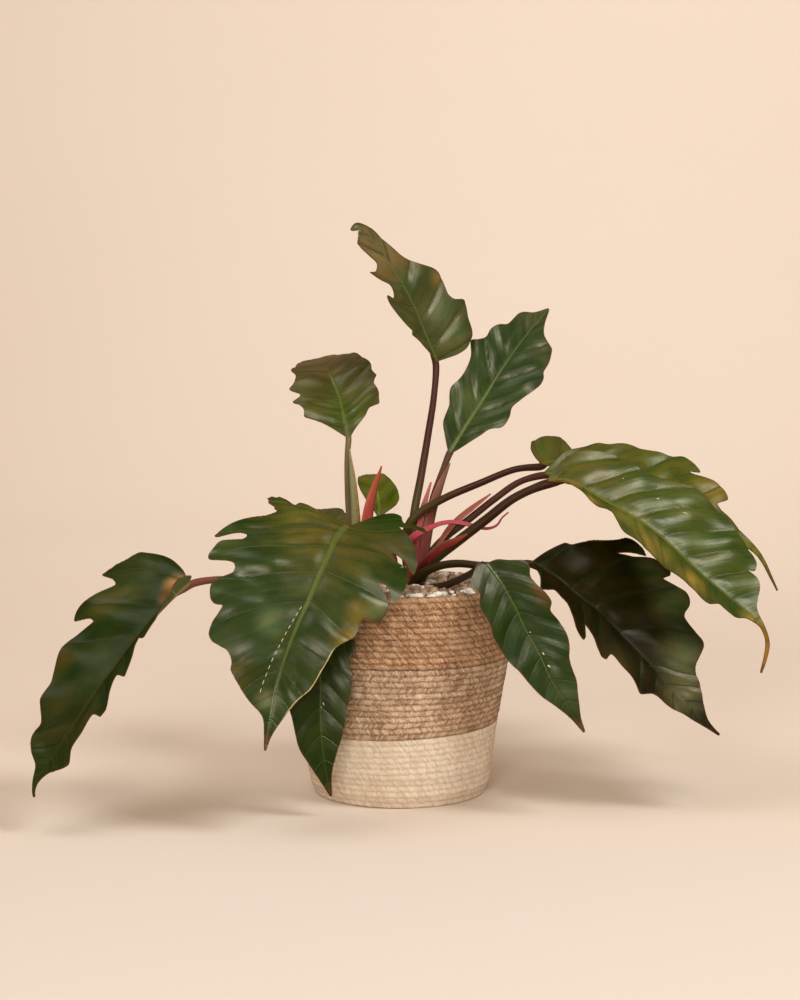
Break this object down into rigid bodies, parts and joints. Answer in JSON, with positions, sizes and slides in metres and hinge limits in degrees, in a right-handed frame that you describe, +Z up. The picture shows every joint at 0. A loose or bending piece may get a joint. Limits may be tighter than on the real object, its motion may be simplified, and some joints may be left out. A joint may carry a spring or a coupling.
{
  "type": "potted pluto philodendron",
  "caption": "House plant with arching, lobed and glossy dark green leaves on long stalks, growing from pale gravel in a round coiled jute basket of tan, brown and cream bands.",
  "frame": {"origin": "centre of the basket's flat foot, on the surface it stands on", "axes": "+Z up, +X to the viewer's right along the widest spread of the leaves, -Y towards the viewer"},
  "size_m": [0.6747, 0.3577, 0.5294],
  "materials": {
    "leaf": "glossy dark green leaf with paler veins and a thin brown margin",
    "stalk": "smooth dark red-brown and olive stalk skin",
    "sheath_red": "thin red and orange papery sheath",
    "sheath_pink": "thin pink papery sheath",
    "sheath_green": "thin green-tan papery sheath",
    "jute_tan": "twisted golden tan jute cord",
    "jute_brown": "twisted jute cord dyed pinkish brown",
    "jute_cream": "twisted bleached cream jute cord",
    "plastic": "thin dark moulded nursery pot",
    "soil": "damp dark potting mix of bark and peat",
    "gravel": "pale pumice stones with a few tan ones"
  },
  "bodies": {
    "root": {"basket_base": "jute_cream", "basket_band": "jute_brown", "basket_rim": "jute_tan", "nursery_pot": "plastic", "soil": "soil", "gravel": "gravel", "main_shoot": "stalk", "side_shoot": "stalk", "leaf_top": "leaf", "leaf_upper_right": "leaf", "leaf_round_left": "leaf", "leaf_small_back": "leaf", "leaf_front": "leaf", "leaf_left": "leaf", "leaf_front_low": "leaf", "leaf_right_front": "leaf", "leaf_right_behind": "leaf", "leaf_right_far": "leaf", "leaf_lower_right": "leaf", "leaf_low_right_front": "leaf", "leaf_left_far": "leaf", "sheath_red_upright": "sheath_red", "sheath_green": "sheath_green", "sheath_orange_upright": "sheath_red", "sheath_pink_upright": "sheath_pink", "sheath_orange_slant": "sheath_red", "sheath_pink_curled": "sheath_pink", "sheath_crimson": "sheath_red", "sheath_dark_red": "sheath_red"}
  },
  "joints": []
}
